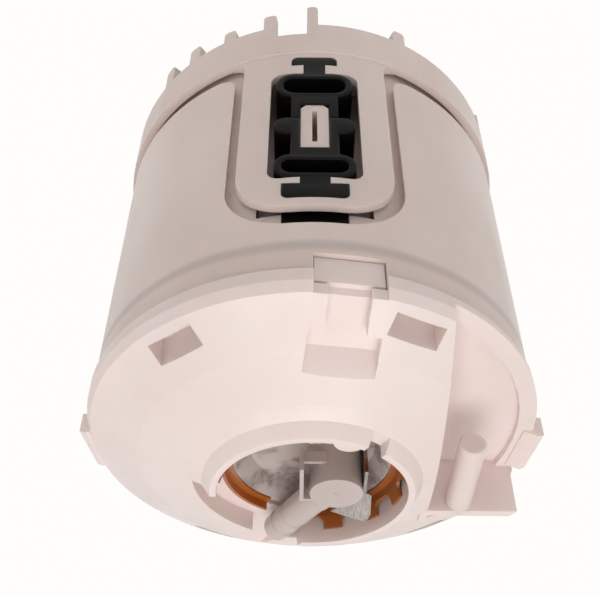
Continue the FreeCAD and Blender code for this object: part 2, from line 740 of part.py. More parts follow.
lock_notch = new_sketch(pot, "lock_notch", "XZ_Plane", pot_inner - 4, lock_angle)
outline(lock_notch, square(lock_half, lock_low - side_gap, pot_high + 2))
pocket(pot, lock_notch, pot_wall + 8, backwards=True)
for number, angle in enumerate(snap_angles):
    hook = new_sketch(pot, "hook_%d" % number, "YZ_Plane", 0, angle)
    hook_root = pot_inner + 0.6
    outline(hook, front([(hook_root, pot_high - 3), (hook_root, snap_low + 2.4), (hook_root - 1.0, snap_low + 3.0),
                         (hook_root - 3.2, snap_low + 0.9), (hook_root - 3.2, snap_low + 0.2),
                         (hook_root - 1.2, snap_low + 0.2), (hook_root - 0.8, pot_high - 3)]))
    pad(pot, hook, snap_hook_half * 2, both_ways=True)

inlet = new_sketch(pot, "inlet", "XY_Plane", floor_high + 1)
circle(inlet, inlet_stem + running_fit, inlet_x, inlet_y)
for number in range(6):
    circle(inlet, inlet_port, inlet_x + inlet_port_circle * cosine(60 * number),
           inlet_y + inlet_port_circle * sine(60 * number))
pocket(pot, inlet, pot_floor + 2)

# Rubber flap of the inlet: a dished disc on a stem whose bulb stays under the floor
flap = turned("inlet_flap", [
    (0, floor_high - pot_floor - flap_travel - 3), (inlet_stem - 0.4, floor_high - pot_floor - flap_travel - 3),
    (inlet_stem + 1, floor_high - pot_floor - flap_travel - 1), (inlet_stem, floor_high - pot_floor - flap_travel - 0.1),
    (inlet_stem, floor_high + 0.1), (flap_radius, floor_high + 0.1), (flap_radius, floor_high + 0.9),
    (inlet_stem, floor_high + 1.9), (0, floor_high + 1.9)])
place(flap, inlet_x, inlet_y)

# Cap: a thin dome with a collar round the pump's end, a lowered side with the return stub, and locks at its rim
cap = new_body("reservoir_cap")
cap_outer = [(cap_rim_radius, pot_high), (cap_rim_radius, pot_high + cap_rim_height), (shoulder_radius, shoulder_height),
             (slope_radius, slope_height), (dome_radius, dome_height), (collar_bore + collar_lip + 2.2, dome_height + 1.6),
             (collar_bore + collar_lip, collar_high)]
skirt_radius = pot_inner - 0.2
skirt_low = pot_high - skirt_drop
seat_bore = can_radius + side_gap
dome = new_sketch(cap, "dome", "XZ_Plane")
skirt = [(skirt_radius - cap_wall, skirt_low), (skirt_radius, skirt_low), (skirt_radius, pot_high)]
outline(dome, skirt + cap_outer + [
    (collar_bore, collar_high), (collar_bore, collar_seat), (seat_bore, collar_seat),
    (seat_bore, collar_seat - collar_seat_wall), (collar_bore + cap_wall, collar_seat - collar_seat_wall),
    (collar_bore + cap_wall, dome_height - 0.7), (dome_radius - 0.6, dome_height - cap_wall),
    (slope_radius - 0.1, slope_height - cap_wall - 0.1), (skirt_radius - cap_wall, shoulder_height + 0.2)])
revolve(cap, dome)

# Walls added under the dome before it is trimmed to its outer form
step_wall = new_sketch(cap, "step_wall", "YZ_Plane", -step_x)
outline(step_wall, plate(-shoulder_radius * 0.82, bulkhead_y, pot_high, 130.0))
pad(cap, step_wall, cap_wall)
lock_bed = new_sketch(cap, "lock_bed", "YZ_Plane", 0, lock_angle)
skirt_inner = skirt_radius - cap_wall
outline(lock_bed, front([(lock_inner - 2, 126.0), (shoulder_radius - 0.6, 118.0), (pot_radius + 0.5, pot_high),
                         (skirt_inner, pot_high), (skirt_inner - 6, 113.5), (lock_inner - 2, 118.5)]))
pad(cap, lock_bed, lock_half * 2 + 4, both_ways=True)
for number, angle in enumerate(snap_angles):
    snap_bed = new_sketch(cap, "snap_bed_%d" % number, "YZ_Plane", 0, angle)
    outline(snap_bed, front([(snap_inner - 2, 121.0), (skirt_radius, 118.0), (skirt_radius, pot_high),
                             (skirt_inner - 0.5, pot_high), (snap_inner - 2, snap_low + 1)]))
    pad(cap, snap_bed, snap_half * 2 + 3.6, both_ways=True)
collar_radius = collar_bore + collar_lip
lip_lobe = new_sketch(cap, "lip_lobe", "XY_Plane", collar_high - lobe_height)
circle(lip_lobe, lobe_radius, sine(lobe_turn) * collar_radius, -cosine(lobe_turn) * collar_radius)
pad(cap, lip_lobe, lobe_height)
hose_turn = nipple_angle + 90
hose_middle = outlet_offset * sine(nipple_angle)
gap_bed = new_sketch(cap, "gap_bed", "YZ_Plane", 0, gap_turn)
outline(gap_bed, front(plate(collar_bore, dome_radius + 3, collar_seat, dome_height)))
revolve(cap, gap_bed, collar_gap_angle + 8)
hose_bed = new_sketch(cap, "hose_bed", "XZ_Plane", 30.0, hose_turn)
outline(hose_bed, plate(hose_middle - hose_bed_half, hose_middle + hose_bed_half, collar_seat - 1, dome_height))
pad(cap, hose_bed, 18.0)
disc(cap, "pipe_boss", stub_radius + cap_wall, low_deck - 4, dome_height, pipe_x, pipe_y)
trim = new_sketch(cap, "trim", "XZ_Plane")
far = pot_radius + trim_reach
above = collar_high + 8
outline(trim, [(far, pot_high)] + cap_outer + [(collar_radius, above), (far, above)])
groove(cap, trim)

# Lowered side: everything beyond the step goes, and a flat deck closes it again
clearing = new_sketch(cap, "clearing", "XY_Plane", above)
outline(clearing, plate(-far, -step_x, -far, bulkhead_y))
pocket(cap, clearing, above - low_deck)
deck_steps = 10


def deck_outline(radius, edge_x, edge_y):
    """Outline of the lowered side inside a radius: two straight edges and the rim between them."""
    radius = as_length(radius)
    first = math.degrees(math.asin(edge_y.number / radius.number))
    last = -math.degrees(math.acos(edge_x.number / radius.number))
    rim = []
    for step in range(deck_steps + 1):
        angle = first + (last - first) * step / deck_steps
        rim.append((-(radius * cosine(angle)), radius * sine(angle)))
    return [(-edge_x, edge_y)] + rim


deck = new_sketch(cap, "deck", "XY_Plane", pot_high)
outline(deck, deck_outline(cap_rim_radius - side_gap, step_x, bulkhead_y))
pad(cap, deck, low_deck - pot_high)
sunk = new_sketch(cap, "sunk", "XY_Plane", pot_high - deck_drop)
outline(sunk, deck_outline(skirt_radius - 0.4, step_x - cap_wall, bulkhead_y + cap_wall))
pad(cap, sunk, low_deck - pot_high)
well = new_sketch(cap, "well", "XY_Plane", low_deck - deck_drop)
outline(well, deck_outline(skirt_radius - 0.8, step_x, bulkhead_y))
pocket(cap, well, deck_drop + 1, backwards=True)

# Housing behind the bulkhead, into which the return stub opens
housing = new_sketch(cap, "housing", "XY_Plane", pot_high)
housing_back = bulkhead_y + housing_length
housing_side = -step_x - housing_width
outline(housing, [(-step_x + 2, bulkhead_y), (-step_x + 2, housing_back), (housing_side + housing_taper, housing_back),
                  (housing_side, bulkhead_y)])
pad(cap, housing, housing_high - pot_high)
slope = new_sketch(cap, "housing_slope", "YZ_Plane", housing_side - 1)
outline(slope, [(bulkhead_y + housing_ridge, housing_high + 1), (bulkhead_y + housing_ridge, housing_high),
                (housing_back + 1, housing_back_high), (housing_back + 1, housing_high + 1)])
pocket(cap, slope, housing_width + 1, backwards=True)
stub_hole = new_sketch(cap, "stub_hole", "XZ_Plane", -bulkhead_y - stub_root)
circle(stub_hole, stub_spigot, stub_x, stub_high)
pocket(cap, stub_hole, stub_root + 1, backwards=True)
stub_way = new_sketch(cap, "stub_way", "XZ_Plane", -gallery_y - stub_bore)
circle(stub_way, stub_bore, stub_x, stub_high)
pocket(cap, stub_way, stub_bore * 2, backwards=True)
duct_high = pipe_high - stub_bore - duct_drop
hole(cap, "gallery", stub_bore, duct_high, stub_high, stub_x, gallery_y)

hole(cap, "pipe_socket", stub_radius + static_fit, low_deck - 5, pipe_high, pipe_x, pipe_y)
duct = new_sketch(cap, "duct", "YZ_Plane", pipe_x)
circle(duct, stub_bore, gallery_y, duct_high)
pocket(cap, duct, pipe_x - stub_x)

# Lock channel in the front of the dome, and the tab that drops into the pot's notch
lock_cut = new_sketch(cap, "lock_cut", "YZ_Plane", 0, lock_angle)
outline(lock_cut, front([(lock_inner, dome_height), (lock_inner + 0.5, 125.0), (lock_inner + 5.0, 122.6 - lock_depth),
                         (shoulder_radius - 3.2, 117.2 - lock_depth), (shoulder_radius - 1.4, 112.6 - lock_depth),
                         (shoulder_radius - 1.0, 108.0), (far, 108.0), (far, dome_height)]))
pocket(cap, lock_cut, lock_half * 2, both_ways=True)
for number, side in enumerate((-1, 1)):
    ledge = new_sketch(cap, "ledge_%d" % number, "YZ_Plane", (lock_half - ledge_width / 2) * side, lock_angle)
    outline(ledge, front([(lock_inner + 10.5, 120.2), (shoulder_radius - 0.8, 116.0), (shoulder_radius - 0.8, 113.0),
                          (lock_inner + 9.5, 115.5)]))
    pad(cap, ledge, ledge_width, both_ways=True)
lock_tab = new_sketch(cap, "lock_tab", "YZ_Plane", 0, lock_angle)
outline(lock_tab, front([(skirt_inner + 0.7, pot_high + 2), (shoulder_radius - 1.2, pot_high + 2),
                         (shoulder_radius - 1.0, lock_low), (skirt_inner + 0.7, lock_low)]))
pad(cap, lock_tab, (lock_half - side_gap) * 2, both_ways=True)

# Windows over the pot's hooks
for number, angle in enumerate(snap_angles):
    window_cutter = new_sketch(cap, "snap_%d" % number, "YZ_Plane", 0, angle)
    outline(window_cutter, front([(snap_inner, dome_height), (snap_inner + 0.8, snap_low),
                                  (skirt_radius - 0.1, snap_low), (skirt_radius - 0.1, dome_height)]))
    pocket(cap, window_cutter, snap_half * 2, both_ways=True)
    slot_cutter = new_sketch(cap, "snap_slot_%d" % number, "YZ_Plane", 0, angle)
    outline(slot_cutter, front(plate(pot_inner - 1.2, pot_radius - 1.2, skirt_low - 1, snap_low + 3.4)))
    pocket(cap, slot_cutter, (snap_hook_half + side_gap) * 2, both_ways=True)
    skirt_cutter = new_sketch(cap, "snap_skirt_%d" % number, "YZ_Plane", 0, angle)
    outline(skirt_cutter, front(plate(skirt_inner - 1, pot_inner, skirt_low - 1, pot_high)))
    pocket(cap, skirt_cutter, (snap_hook_half + side_gap) * 2, both_ways=True)

# Ears at the sides of the rim, where the cap is gripped
ear_outer = cap_rim_radius + ear_proud - 0.6
ear_inner = skirt_radius + 0.6
for number, side in enumerate((-1, 1)):
    ear = new_sketch(cap, "ear_%d" % number, "YZ_Plane", 0, ear_angle * side)
    outline(ear, front([(ear_inner, low_deck + 0.5), (ear_outer - 1.6, low_deck + 1.6), (ear_outer, low_deck + 0.9),
                        (ear_outer, pot_high - 2.5), (cap_rim_radius + 0.6, pot_high - 2.5),
                        (cap_rim_radius + 0.6, pot_high), (ear_inner, pot_high)]))
    pad(cap, ear, ear_half * 2, both_ways=True)

# Notch in the collar's lip, and the channel over which the hose leaves the nipple
lip_notch = new_sketch(cap, "lip_notch", "YZ_Plane", 0, lip_notch_turn)
outline(lip_notch, front(plate(collar_bore - 1.5, collar_bore + 5, collar_high - 3.4, above)))
pocket(cap, lip_notch, lip_notch_width, both_ways=True)
hose_channel = new_sketch(cap, "hose_channel", "XZ_Plane", 18.0, hose_turn)
hose_half = nipple_radius + hose_room
gap_floor = nipple_height - nipple_radius - 1
outline(hose_channel, plate(hose_middle - hose_half, hose_middle + hose_half, gap_floor, above))
pocket(cap, hose_channel, 34.0, backwards=True)

# Gap in the collar for the outlet's nipple
gap = new_sketch(cap, "collar_gap", "YZ_Plane", 0, gap_turn)
outline(gap, front(plate(20.0, dome_radius - 1, gap_floor, above)))
groove(cap, gap, collar_gap_angle)

# Return stub: a short pipe on the bulkhead, lying over the lowered side
stub = new_body("return_stub")
stub_profile = new_sketch(stub, "profile", "YZ_Plane")
stub_back = bulkhead_y + stub_root - running_fit
stub_tip = bulkhead_y - stub_reach
stub_neck = stub_spigot - static_fit
outline(stub_profile, [(stub_back, stub_bore), (stub_back, stub_neck), (bulkhead_y, stub_neck), (bulkhead_y, stub_radius),
                       (stub_tip + stub_chamfer, stub_radius), (stub_tip, stub_radius - stub_chamfer), (stub_tip, 0),
                       (stub_tip + stub_end, 0), (stub_tip + stub_end, stub_bore)])
revolve(stub, stub_profile, axis="H_Axis")
place(stub, stub_x, 0, stub_high)

# Return pipe inside the reservoir, from the cap's boss down to the jet nozzle on the floor
pipe = new_body("return_pipe")
pipe_ring = new_sketch(pipe, "ring", "XY_Plane", pipe_low)
circle(pipe_ring, stub_radius)
pad(pipe, pipe_ring, pipe_high - pipe_clear - pipe_low)
hole(pipe, "bore", stub_bore, pipe_low - 1, pipe_high)
place(pipe, pipe_x, pipe_y)

# Jet nozzle: a socket for the return pipe and a mixing tube along the floor
jet_middle = floor_high + jet_radius + jet_clear
jet = new_body("jet_nozzle")
disc(jet, "socket", stub_radius + cap_wall, floor_high, pipe_low + 6)
hole(jet, "socket_bore", stub_radius + static_fit, pipe_low, pipe_low + 7)
hole(jet, "feed", jet_bore / 2, jet_middle, pipe_low + 1)
tube = new_sketch(jet, "tube", "XZ_Plane")
circle(tube, jet_radius, 0, jet_middle)
pad(jet, tube, jet_length)
tube_bore = new_sketch(jet, "tube_bore", "XZ_Plane", jet_length + 1)
circle(tube_bore, jet_bore, 0, jet_middle)
pocket(jet, tube_bore, jet_length + 1)
place(jet, pipe_x, pipe_y)

# Pump can: a thin steel tube with its lower edge rolled in under the inlet cover
can_inner = can_radius - can_wall
turned("pump_can", [(can_inner - 1.8, can_low), (can_radius, can_low), (can_radius, can_high),
                    (can_inner, can_high), (can_inner, can_low + can_wall), (can_inner - 1.8, can_low + can_wall)])

# Inlet cover: the lower plate of the pump chamber with the inlet spigot
cover_radius = can_inner - static_fit
inlet_cover = turned("inlet_cover", [
    (0, can_low - 3), (can_inner - 2.4, can_low - 3), (can_inner - 2.4, can_low + can_wall),
    (cover_radius, can_low + can_wall), (cover_radius, chamber_low), (shaft_radius + running_fit, chamber_low),
    (shaft_radius + running_fit, chamber_low - 3), (0, chamber_low - 3)])
disc(inlet_cover, "spigot", spigot_radius, spigot_low, can_low - 2, port_x)
hole(inlet_cover, "port", spigot_radius - 1.5, spigot_low - 1, chamber_low + 1, port_x)

# Impeller: a disc with a row of vanes at its rim
impeller_low = chamber_low + chamber_side
impeller = turned("impeller", [
    (shaft_radius, impeller_low), (impeller_radius, impeller_low), (impeller_radius, impeller_low + impeller_thick),
    (shaft_radius, impeller_low + impeller_thick)])
vane = new_sketch(impeller, "vane", "XZ_Plane", impeller_radius - vane_depth)
outline(vane, square(vane_slot / 2, impeller_low - 1, impeller_low + impeller_thick + 1))
vane_cut = pocket(impeller, vane, vane_depth + 1, backwards=True)
around(impeller, "vanes", [vane_cut], vane_count)

# Chamber plate: the upper half of the pump chamber, with the lower bearing
plate_low = chamber_low
chamber_plate = turned("chamber_plate", [
    (bearing_radius, plate_low + impeller_thick + chamber_side * 2),
    (impeller_radius + impeller_gap, plate_low + impeller_thick + chamber_side * 2), (impeller_radius + impeller_gap, plate_low),
    (cover_radius, plate_low), (cover_radius, plate_high), (bearing_radius, plate_high)])
hole(chamber_plate, "port", 2.5, plate_low, plate_high + 1, -port_x)
turned("lower_bearing", [
    (shaft_radius + running_fit, plate_low + impeller_thick + 1), (bearing_radius, plate_low + impeller_thick + 1),
    (bearing_radius, plate_high), (shaft_radius + running_fit, plate_high)])

# Field magnets: two curved magnets inside the can
for label, turn in (("magnet_front", 0), ("magnet_back", 180)):
    magnet = new_body(label)
    magnet_profile = new_sketch(magnet, "profile", "YZ_Plane")
    outline(magnet_profile, front(plate(magnet_radius, can_inner - static_fit, magnet_low, magnet_high)))
    revolve(magnet, magnet_profile, magnet_angle)
    place(magnet, turn=turn)

# Armature: a slotted iron core, its windings' heads, the face commutator and the shaft
core = turned("armature_core", [(shaft_radius, core_low), (core_radius, core_low), (core_radius, core_high),
                                (shaft_radius, core_high)])
core_slot = new_sketch(core, "slot", "XZ_Plane", 5.0)
outline(core_slot, square(1.2, core_low - 1, core_high + 1))
core_slot_cut = pocket(core, core_slot, core_radius, backwards=True)
around(core, "slots", [core_slot_cut], core_slots)
for label, low, high in (("winding_head_low", core_low - 6, core_low), ("winding_head_high", core_high, core_high + 6)):
    turned(label, [(4.0, low + 1), (5.0, low), (13.0, low), (14.0, low + 1), (14.0, high), (4.0, high)])
commutator = turned("commutator", [
    (shaft_radius, commutator_low), (commutator_radius, commutator_low), (commutator_radius, commutator_high),
    (shaft_radius, commutator_high)])
saw_cut = new_sketch(commutator, "saw_cut", "XZ_Plane", 3.0)
outline(saw_cut, square(0.25, commutator_high - 1.2, commutator_high + 1))
saw_slot = pocket(commutator, saw_cut, commutator_radius, backwards=True)
around(commutator, "segments", [saw_slot], core_slots)
turned("motor_shaft", [(0, shaft_low), (shaft_radius, shaft_low), (shaft_radius, shaft_high), (0, shaft_high)])

# End cover: carries the upper bearing, the brushes and the valves, and the spigot for the outlet elbow
end_cover = turned("pump_end_cover", [
    (shaft_radius + 0.3, cover_low), (cover_radius, cover_low), (cover_radius, can_high),
    (can_radius - 0.2, can_high), (can_radius - 0.2, cover_high), (dish_rim, cover_high), (dish_radius, dish_high),
    (0, dish_high), (0, bearing_high + 2),
    (upper_bearing_radius, bearing_high + 2), (upper_bearing_radius, bearing_low), (shaft_radius + 0.3, bearing_low)])
disc(end_cover, "outlet_spigot", outlet_spigot, dish_high - 1, outlet_spigot_high, -outlet_offset)
hole(end_cover, "outlet_bore", valve_bore, valve_seat_high, outlet_spigot_high + 1, -outlet_offset)
hole(end_cover, "outlet_feed", 1.5, cover_low - 1, valve_seat_high + 1, -outlet_offset - 0.6)
hole(end_cover, "brush_front", brush_radius + running_fit, cover_low - 1, brush_hole_high, 0, -brush_offset)
hole(end_cover, "brush_back", brush_radius + running_fit, cover_low - 1, brush_hole_high, 0, brush_offset)
hole(end_cover, "relief_bore", relief_bore, relief_seat, dish_high + 1, relief_x, relief_y)
hole(end_cover, "relief_feed", 1.5, cover_low - 1, relief_seat + 1, relief_x, relief_y)
turned("upper_bearing", [
    (shaft_radius + running_fit, bearing_low), (upper_bearing_radius, bearing_low),
    (upper_bearing_radius, bearing_high), (shaft_radius + running_fit, bearing_high)])

# Terminals: two blades on the end cover
for label, x in (("terminal_plus", -6.9), ("terminal_minus", -0.5)):
    blade = new_body(label)
    blade_sketch = new_sketch(blade, "blade", "XY_Plane", dish_high)
    outline(blade_sketch, plate(x - 1.4, x + 1.4, -13.4, -12.6))
    pad(blade, blade_sketch, terminal_high - dish_high)

# Brushes: carbon pins in the end cover, each pressed on the commutator's face by its spring
brush_low = commutator_high + 0.05
for label, side in (("brush_front", -1), ("brush_back", 1)):
    brush = turned(label, [(0, brush_low), (brush_radius, brush_low), (brush_radius, brush_high), (0, brush_high)])
    place(brush, 0, brush_offset * side)


def coil_spring(label, mean_radius, wire, low, high, turns, x=0, y=0):
    """A coil spring of square wire, from its mean radius, its two ends and its number of turns."""
    height = as_length(high) - low - wire
    helix = document.addObject("Part::Helix", label + "_line")
    bind(helix, "Radius", mean_radius)
    bind(helix, "Pitch", height / turns)
    bind(helix, "Height", height)
    section = document.addObject("Part::RegularPolygon", label + "_wire")
    section.Polygon = 4
    bind(section, "Circumradius", wire / 2)
    section.Placement = FreeCAD.Placement(
        FreeCAD.Vector(as_length(mean_radius).number, 0, 0), FreeCAD.Rotation(FreeCAD.Vector(1, 0, 0), 90))
    bind(section, "Placement.Base.x", mean_radius)
    spring = document.addObject("Part::Sweep", label)
    spring.Sections = [section]
    spring.Spine = (helix, [])
    spring.Solid = True
    spring.Frenet = True
    spring.Label = label
    place(spring, x, y, as_length(low) + wire / 2)
    parts.append(spring)
    return spring


# Springs of the brushes and valves
coil_spring("brush_spring_front", brush_radius - 0.6, spring_wire, brush_high, brush_hole_high, 5, 0, -brush_offset)
coil_spring("brush_spring_back", brush_radius - 0.6, spring_wire, brush_high, brush_hole_high, 5, 0, brush_offset)

# Check valve in the outlet spigot: a poppet on its seat, and the spring that shuts it
poppet = turned("check_valve_poppet", [
    (0, valve_seat_high + 0.02), (valve_bore - 0.35, valve_seat_high + 0.02), (valve_bore - 0.35, poppet_high - 3),
    (1.0, poppet_high - 2), (1.0, poppet_high), (0, poppet_high)])
place(poppet, -outlet_offset)
coil_spring("check_valve_spring", 1.75, spring_wire, poppet_high - 2, outlet_spigot_high - 2, 5, -outlet_offset)
spring_stop = turned("check_valve_cage", [
    (1.2, outlet_spigot_high - 2), (valve_bore - 0.02, outlet_spigot_high - 2), (valve_bore - 0.02, outlet_spigot_high),
    (1.2, outlet_spigot_high)])
place(spring_stop, -outlet_offset)

# Relief valve beside it: a ball on its seat, its spring and the plug that holds them in
ball = document.addObject("Part::Sphere", "relief_ball")
ball.Label = "relief_ball"
bind(ball, "Radius", relief_ball_radius)
place(ball, relief_x, relief_y, relief_seat + relief_ball_radius - 0.48)
parts.append(ball)
coil_spring("relief_spring", 1.7, spring_wire, relief_seat + relief_ball_radius * 2 - 0.8, plug_low, 4, relief_x,
            relief_y)
plug = turned("relief_plug", [(0.9, plug_low), (relief_bore - 0.02, plug_low), (relief_bore - 0.02, dish_high),
                              (0.9, dish_high)])
place(plug, relief_x, relief_y)

# Retaining ring: an amber ring on the pump's end, whose spring fingers grip the collar's bore
retainer_low = cover_high + 0.02
finger_radius = collar_bore - static_fit
retainer = turned("pump_retainer", [
    (retainer_inner, retainer_low), (retainer_radius, retainer_low), (retainer_radius, finger_root - 0.6),
    (finger_radius, finger_high - 0.9), (finger_radius, finger_high), (finger_radius - 0.6, finger_high),
    (retainer_radius - retainer_wall, finger_root), (retainer_radius - retainer_wall, retainer_low + retainer_wall),
    (retainer_inner, retainer_low + retainer_wall)])
finger_slot = new_sketch(retainer, "finger_gap", "XZ_Plane", 18.0, finger_turn)
outline(finger_slot, [(-finger_gap / 2, finger_root, finger_round), (finger_gap / 2, finger_root, finger_round),
                      (finger_gap / 2, finger_high + 2), (-finger_gap / 2, finger_high + 2)])
finger_cut = pocket(retainer, finger_slot, 10.0, backwards=True)
around(retainer, "fingers", [finger_cut], finger_count)

nipple_gap = new_sketch(retainer, "nipple_gap", "YZ_Plane", 0, retainer_gap_turn)
outline(nipple_gap, front(plate(retainer_inner - 1, collar_bore + 1, retainer_low - 1, finger_high + 1)))
groove(retainer, nipple_gap, retainer_gap_angle)
open_gap = new_sketch(retainer, "open_gap", "YZ_Plane", 0, gap_turn)
outline(open_gap, front(plate(retainer_inner - 1, collar_bore + 1, finger_root, finger_high + 1)))
groove(retainer, open_gap, retainer_open_angle)

# Outlet elbow: a capped cylinder over the spigot, with the hose nipple across it and a stiffening rib
elbow = new_body("outlet_elbow")
elbow_low = dish_high - nipple_height
cylinder = new_sketch(elbow, "cylinder", "XZ_Plane")
outline(cylinder, plate(0, outlet_radius, elbow_low, outlet_high - nipple_height))
revolve(elbow, cylinder)
barb = barb_radius
neck_radius = nipple_radius - 0.5
nipple = new_sketch(elbow, "nipple", "XZ_Plane")
outline(nipple, [(0, 0), (nipple_reach, 0), (nipple_reach, barb - 0.9), (nipple_reach - 1, barb - 0.3),
                 (nipple_reach - 4.6, barb), (nipple_reach - 5.0, neck_radius), (nipple_reach - 6.2, neck_radius),
                 (nipple_reach - 6.6, barb), (nipple_reach - 9.6, barb), (nipple_reach - 10.0, neck_radius),
                 (nipple_reach - 11.2, neck_radius), (nipple_reach - 11.6, nipple_radius),
                 (nipple_root_length, nipple_radius), (nipple_root_length, nipple_root), (0, nipple_root)])
revolve(elbow, nipple, axis="H_Axis")
rib = new_sketch(elbow, "rib", "YZ_Plane", rib_offset, -nipple_angle)
rib_low = -4.0
rib_high = 3.4
outline(rib, [(-rib_front, rib_low), (rib_back, rib_low), (rib_back, rib_high), (1 - rib_front, rib_high),
              (-rib_front, rib_high - 1)])
pad(elbow, rib, rib_thick, both_ways=True)
web = new_sketch(elbow, "web", "XZ_Plane", 5.4, -nipple_angle)
outline(web, plate(2.4, rib_offset, rib_low, rib_low + 3))
pad(elbow, web, rib_thick)
bridge = new_sketch(elbow, "bridge", "XZ_Plane", -rib_back, -nipple_angle)
outline(bridge, plate(3.0, rib_offset, rib_low, rib_high))
pad(elbow, bridge, rib_thick)
socket = new_sketch(elbow, "socket", "XZ_Plane")
outline(socket, plate(0, outlet_spigot + 0.1, elbow_low, outlet_spigot_high - nipple_height + 2.2))
groove(elbow, socket)
nipple_hole = new_sketch(elbow, "nipple_bore", "XZ_Plane")
outline(nipple_hole, plate(outlet_radius - 3, nipple_reach + 1, 0, nipple_bore))
groove(elbow, nipple_hole, axis="H_Axis")
place(elbow, -outlet_offset, 0, nipple_height, nipple_angle)

# Steel clip: a blade beside the elbow with a three-cornered flange at its end
clip = new_body("elbow_clip")
clip_gap = outlet_radius + 0.05
flange = new_sketch(clip, "flange", "XY_Plane", clip_high - clip_thick)
outline(flange, [(-4.9, 10.3), (-14.2, 15.8), (-15.2, 12.0), (-14.9, 2.5), (-14.0, 1.5), (-12.4, 1.5)])
pad(clip, flange, clip_thick)
clip_blade = new_sketch(clip, "blade", "XY_Plane", dish_high)
outline(clip_blade, plate(-outlet_offset - clip_gap - clip_thick, -outlet_offset - clip_gap, -8.6, 3.0))
pad(clip, clip_blade, clip_high - dish_high)
hole(clip, "relief", clip_gap, dish_high - 1, clip_high + 1, -outlet_offset)

# Strainer disc on the pot's floor and the rubber sleeve that seals the pump's inlet into it
strainer = turned("strainer", [(0, floor_high), (strainer_radius, floor_high), (strainer_radius, strainer_high - 1),
                               (strainer_radius - 1, strainer_high), (0, strainer_high)])
hole(strainer, "mouth", spigot_radius + 1.2, floor_high + 1, strainer_high + 1, port_x)
sleeve = turned("inlet_sleeve", [
    (spigot_radius, spigot_low), (spigot_radius + 1.2, spigot_low), (spigot_radius + 1.2, can_low - 3),
    (spigot_radius, can_low - 3)])
place(sleeve, port_x)


def check_document():
    """Stops if any object failed to build, or a piece has no valid solid."""
    for part in parts:
        if part.TypeId == "PartDesign::Body":
            part.Tip.Refine = True
    document.recompute()
    for item in document.Objects:
        for state in item.State:
            if state in ("Invalid", "Error"):
                raise RuntimeError("%s is %s" % (item.Name, state))
    for part in parts:
        if part.Shape.isNull() or not part.Shape.isValid() or not part.Shape.Solids:
            raise RuntimeError("%s has no valid solid" % part.Label)


check_document()
os.makedirs("parts", exist_ok=True)
for part in parts:
    part.Shape.exportStep("parts/%s.step" % part.Label)
    print(part.Label, len(part.Shape.Solids), round(part.Shape.Volume, 1))
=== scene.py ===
import math

import bmesh
import bpy
import numpy as np
from mathutils import Matrix, Vector


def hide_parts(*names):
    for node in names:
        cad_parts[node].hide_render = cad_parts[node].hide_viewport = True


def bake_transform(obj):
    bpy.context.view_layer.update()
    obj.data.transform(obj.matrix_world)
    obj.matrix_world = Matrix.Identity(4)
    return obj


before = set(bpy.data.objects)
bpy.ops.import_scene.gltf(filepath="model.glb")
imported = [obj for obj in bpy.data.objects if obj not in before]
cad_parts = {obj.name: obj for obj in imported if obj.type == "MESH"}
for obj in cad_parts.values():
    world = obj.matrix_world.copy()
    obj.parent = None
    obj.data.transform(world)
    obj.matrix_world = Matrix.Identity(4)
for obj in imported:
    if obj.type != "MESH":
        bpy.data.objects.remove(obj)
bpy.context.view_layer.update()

# Mount ring: a low ring with a castellated foot and three windowed tongues,
# moulded in cloudy white plastic. Light sinks in a little, and the walls show
# faint flow marks, a fine grain and a soft sheen.


def new_group(name, inputs, outputs):
    """A node group with the named inputs (name, kind, default) and outputs (name, kind)."""
    group = bpy.data.node_groups.new(name, "ShaderNodeTree")
    for label, kind, default in inputs:
        socket = group.interface.new_socket(label, in_out="INPUT", socket_type="NodeSocket" + kind)
        if default is not None:
            socket.default_value = default
    for label, kind in outputs:
        group.interface.new_socket(label, in_out="OUTPUT", socket_type="NodeSocket" + kind)
    return group


def node(tree, kind, links=None, **settings):
    """Adds a node; links maps an input's name or number to a value or to another node's output."""
    made = tree.nodes.new("ShaderNode" + kind if not kind.startswith("NodeGroup") else kind)
    for key, value in settings.items():
        setattr(made, key, value)
    for key, value in (links or {}).items():
        if isinstance(value, bpy.types.NodeSocket):
            tree.links.new(value, made.inputs[key])
        else:
            made.inputs[key].default_value = value
    return made


def math_node(tree, operation, first, second=0.0):
    """One sum on values: the output socket of a Math node."""
    return node(tree, "Math", {0: first, 1: second}, operation=operation).outputs[0]


def weighted(tree, first, share, second):
    """Two values added by weight: first times share, plus second times what is left of 1."""
    return math_node(tree, "ADD", math_node(tree, "MULTIPLY", first, share),
                     math_node(tree, "MULTIPLY", second, 1.0 - share))


def ramp(tree, value, low, high, out_low=0.0, out_high=1.0):
    """A smooth step from out_low at low to out_high at high."""
    made = node(tree, "MapRange", {0: value, 1: low, 2: high, 3: out_low, 4: out_high},
                interpolation_type="SMOOTHSTEP")
    return made.outputs[0]


def mix_colour(tree, share, first, second):
    """Blends two colours by a share from 0 to 1."""
    made = node(tree, "Mix", {0: share, 6: first, 7: second}, data_type="RGBA")
    return made.outputs[2]


def noise(tree, vector, scale, detail=3.0, rough=0.5):
    """Cloudy noise from 0 to 1 at so many waves to the metre."""
    settings = {"Vector": vector, "Scale": scale, "Detail": detail, "Roughness": rough}
    return node(tree, "TexNoise", settings).outputs[0]


def material(name):
    """A new material: its tree and its Principled node, with object coordinates in metres."""
    made = bpy.data.materials.new(name)
    made.use_nodes = True
    tree = made.node_tree
    return made, tree, tree.nodes["Principled BSDF"], tree.nodes.new("ShaderNodeTexCoord").outputs["Object"]


def paint(made, *names):
    """Gives CAD nodes or new pieces this material as their only one."""
    for name in names:
        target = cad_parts[name] if isinstance(name, str) else name
        target.data.materials.clear()
        target.data.materials.append(made)


